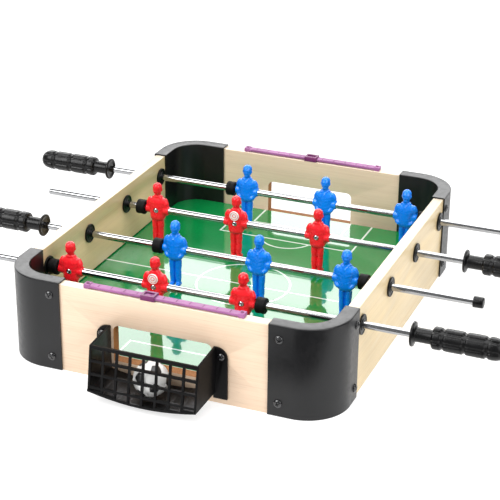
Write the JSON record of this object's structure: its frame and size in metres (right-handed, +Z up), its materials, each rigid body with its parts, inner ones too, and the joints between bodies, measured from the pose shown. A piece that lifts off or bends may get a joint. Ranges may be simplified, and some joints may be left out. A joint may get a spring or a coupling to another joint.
{
  "type": "foosball table",
  "caption": "Small table-top foosball game: wooden box with plastic corner posts, glossy pitch, goal cage, score bars and handled rods of players that slide and spin",
  "frame": {"origin": "Centre of the overall box, on the plane the table stands on.", "axes": "+Z is up. X runs along the rods, +X towards the right-hand handles. -Y is the goal with the cage, +Y the goal without one."},
  "size_m": [0.511, 0.3768, 0.0835],
  "materials": {
    "wood_panel": "pale maple look laminate on fibreboard, satin",
    "pitch_green": "green laminate with white lines, high gloss",
    "post_black": "moulded, satin",
    "cage_black": "moulded, satin",
    "bush_black": "moulded, satin",
    "handle_black": "ribbed grip, satin",
    "bumper_rubber": "soft, matt",
    "screw_black": "black zinc",
    "rod_chrome": "bright chrome plating",
    "player_red": "moulded, glossy",
    "player_blue": "moulded, glossy",
    "score_mauve": "tinted, glossy",
    "ball_white": "white with black panels, smooth"
  },
  "bodies": {
    "frame": {"side_panel_left": "wood_panel", "side_panel_right": "wood_panel", "end_panel_front": "wood_panel", "end_panel_back": "wood_panel", "pitch_board": "pitch_green", "corner_post_front_left": "post_black", "corner_post_front_right": "post_black", "corner_post_back_left": "post_black", "corner_post_back_right": "post_black", "goal_cage": "cage_black", "cage_screw_left": "screw_black", "cage_screw_right": "screw_black", "score_bar_front": "score_mauve", "score_bar_back": "score_mauve", "bush_1_left": "bush_black", "bush_1_right": "bush_black", "bush_2_left": "bush_black", "bush_2_right": "bush_black", "bush_3_left": "bush_black", "bush_3_right": "bush_black", "bush_4_left": "bush_black", "bush_4_right": "bush_black"},
    "score_slider_front": {"score_slider_front": "score_mauve"},
    "score_slider_back": {"score_slider_back": "score_mauve"},
    "ball": {"ball": "ball_white"},
    "rod_1_bumpers": {"bumper_1_left": "bumper_rubber", "bumper_1_right": "bumper_rubber"},
    "rod_1": {"rod_1": "rod_chrome", "handle_1": "handle_black", "player_1_left": "player_red", "player_1_middle": "player_red", "player_1_right": "player_red"},
    "rod_2_bumpers": {"bumper_2_left": "bumper_rubber", "bumper_2_right": "bumper_rubber"},
    "rod_2": {"rod_2": "rod_chrome", "handle_2": "handle_black", "end_cap_2": "handle_black", "player_2_left": "player_blue", "player_2_middle": "player_blue", "player_2_right": "player_blue"},
    "rod_3_bumpers": {"bumper_3_left": "bumper_rubber"},
    "rod_3": {"rod_3": "rod_chrome", "handle_3": "handle_black", "player_3_left": "player_red", "player_3_middle": "player_red", "player_3_right": "player_red"},
    "rod_4_bumpers": {"bumper_4_left": "bumper_rubber", "bumper_4_right": "bumper_rubber"},
    "rod_4": {"rod_4": "rod_chrome", "handle_4": "handle_black", "end_cap_4": "handle_black", "player_4_left": "player_blue", "player_4_middle": "player_blue", "player_4_right": "player_blue"}
  },
  "joints": [
    {"name": "rod_1_slide", "type": "slide", "parent": "frame", "child": "rod_1_bumpers", "axis": [1, 0, 0], "range_m": [0, 0.067]},
    {"name": "rod_1_spin", "type": "hinge", "parent": "rod_1_bumpers", "child": "rod_1", "pos_m": [-0.0335, -0.0891, 0.058], "axis": [1, 0, 0], "continuous": true},
    {"name": "rod_2_slide", "type": "slide", "parent": "frame", "child": "rod_2_bumpers", "axis": [1, 0, 0], "range_m": [-0.0603, 0.0067]},
    {"name": "rod_2_spin", "type": "hinge", "parent": "rod_2_bumpers", "child": "rod_2", "pos_m": [0.0268, -0.0171, 0.058], "axis": [1, 0, 0], "continuous": true},
    {"name": "rod_3_slide", "type": "slide", "parent": "frame", "child": "rod_3_bumpers", "axis": [1, 0, 0], "range_m": [-0.01005, 0.06495]},
    {"name": "rod_3_spin", "type": "hinge", "parent": "rod_3_bumpers", "child": "rod_3", "pos_m": [-0.02345, 0.0549, 0.058], "axis": [1, 0, 0], "continuous": true},
    {"name": "rod_4_slide", "type": "slide", "parent": "frame", "child": "rod_4_bumpers", "axis": [1, 0, 0], "range_m": [-0.067, 0]},
    {"name": "rod_4_spin", "type": "hinge", "parent": "rod_4_bumpers", "child": "rod_4", "pos_m": [0.0335, 0.1269, 0.058], "axis": [1, 0, 0], "continuous": true},
    {"name": "score_slider_front_slide", "type": "slide", "parent": "frame", "child": "score_slider_front", "axis": [1, 0, 0], "range_m": [-0.043, 0.067]},
    {"name": "score_slider_back_slide", "type": "slide", "parent": "frame", "child": "score_slider_back", "axis": [1, 0, 0], "range_m": [-0.055, 0.055]},
    {"name": "ball_lift", "type": "slide", "parent": "frame", "child": "ball", "axis": [0, 0.1614, 0.9869], "range_m": [0, 0.035]}
  ]
}
